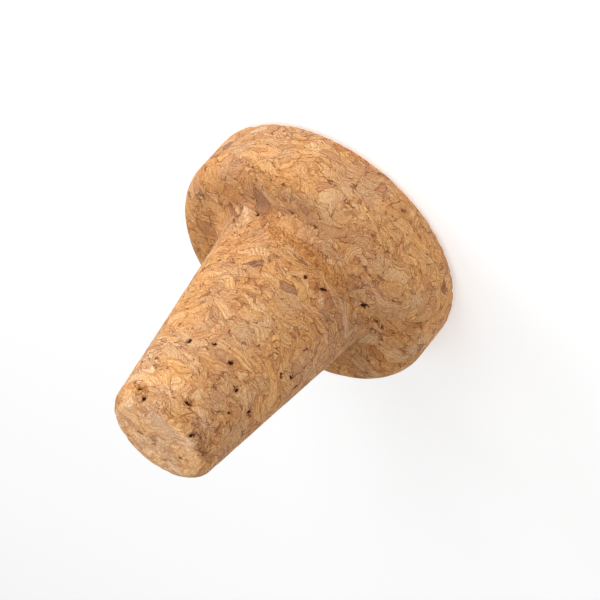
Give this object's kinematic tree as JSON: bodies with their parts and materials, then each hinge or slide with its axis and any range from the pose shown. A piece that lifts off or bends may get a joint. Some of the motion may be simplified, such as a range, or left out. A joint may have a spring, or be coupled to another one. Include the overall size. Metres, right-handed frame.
{
  "type": "cork stopper",
  "caption": "Tapered cork stopper with a wide round grip head, pressed into the round neck of a jug or carafe and pulled out by its head.",
  "frame": {"origin": "centre of the head's flat face, which the stopper stands on", "axes": "+Z along the stopper's axis, from the head towards the tip of the shank; round about Z, so X and Y are free"},
  "size_m": [0.06, 0.06, 0.063],
  "materials": {
    "cork": "matt, turned agglomerated cork, unsealed"
  },
  "bodies": {
    "root": {"stopper": "cork"}
  },
  "joints": []
}
